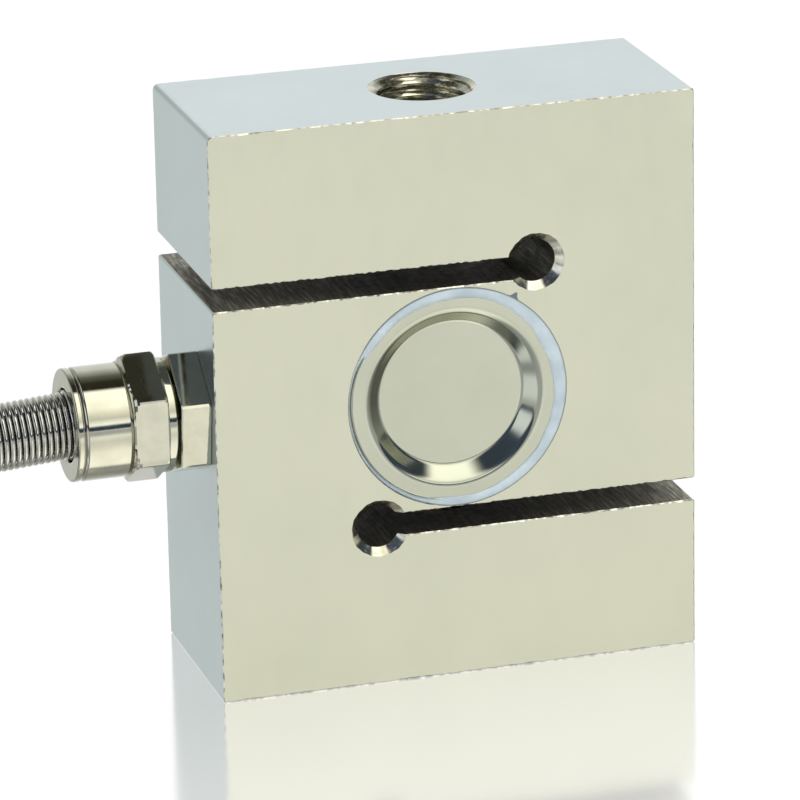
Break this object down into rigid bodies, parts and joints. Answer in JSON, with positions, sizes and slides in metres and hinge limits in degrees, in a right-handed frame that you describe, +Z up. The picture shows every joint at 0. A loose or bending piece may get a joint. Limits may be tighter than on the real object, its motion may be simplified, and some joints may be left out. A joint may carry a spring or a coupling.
{
  "type": "s type load cell",
  "caption": "S-shaped steel load cell with tapped holes top and bottom, a sealed round gauge pocket, and a side cable gland with a spring guard and coiled cable.",
  "frame": {"origin": "centre of the lower load thread's mouth, in the bottom face", "axes": "+Z up along the load axis to the upper thread, front face along -Y, cable gland along -X"},
  "size_m": [0.1799, 0.0692, 0.0705],
  "materials": {
    "nickel_steel": "satin nickel plate on alloy steel",
    "polished_steel": "pressed and polished stainless sheet",
    "silicone": "translucent bluish white silicone sealant",
    "gauge_film": "amber polyimide film with foil grids",
    "circuit_board": "glass epoxy board with tinned pads",
    "enamelled_copper": "enamelled copper wire",
    "resistor_ceramic": "chip resistor",
    "core_black": "black core insulation",
    "core_white": "white core insulation",
    "core_green": "green core insulation",
    "core_red": "red core insulation",
    "nickel_brass": "bright nickel plate on brass",
    "seal_rubber": "nitrile rubber",
    "washer_nylon": "nylon",
    "spring_wire": "bright spring steel wire",
    "cable_jacket": "black PVC jacket",
    "tie_nylon": "natural nylon",
    "shrink_sleeve": "heat shrink tube",
    "tinned_copper": "tinned copper strands"
  },
  "bodies": {
    "root": {"spring_element": "nickel_steel", "front_seal_cup": "polished_steel", "rear_seal_cup": "polished_steel", "front_sealant": "silicone", "rear_sealant": "silicone", "front_strain_gauge": "gauge_film", "rear_strain_gauge": "gauge_film", "front_terminal_board": "circuit_board", "rear_terminal_board": "circuit_board", "front_gauge_wires": "enamelled_copper", "rear_gauge_wires": "enamelled_copper", "web_jumpers": "enamelled_copper", "trim_resistor": "resistor_ceramic", "inner_core_black": "core_black", "inner_core_white": "core_white", "inner_core_green": "core_green", "inner_core_red": "core_red", "gland_body": "nickel_brass", "gland_cap_nut": "nickel_brass", "gland_seal": "seal_rubber", "gland_washer": "washer_nylon", "spring_guard": "spring_wire", "cable": "cable_jacket", "cable_coil": "cable_jacket", "cable_tail": "cable_jacket", "cable_tie": "tie_nylon", "cable_end_sleeve": "shrink_sleeve", "end_core_red": "core_red", "end_core_black": "core_black", "end_core_green": "core_green", "end_core_white": "core_white", "core_tips": "tinned_copper", "shield_tail": "tinned_copper"}
  },
  "joints": []
}
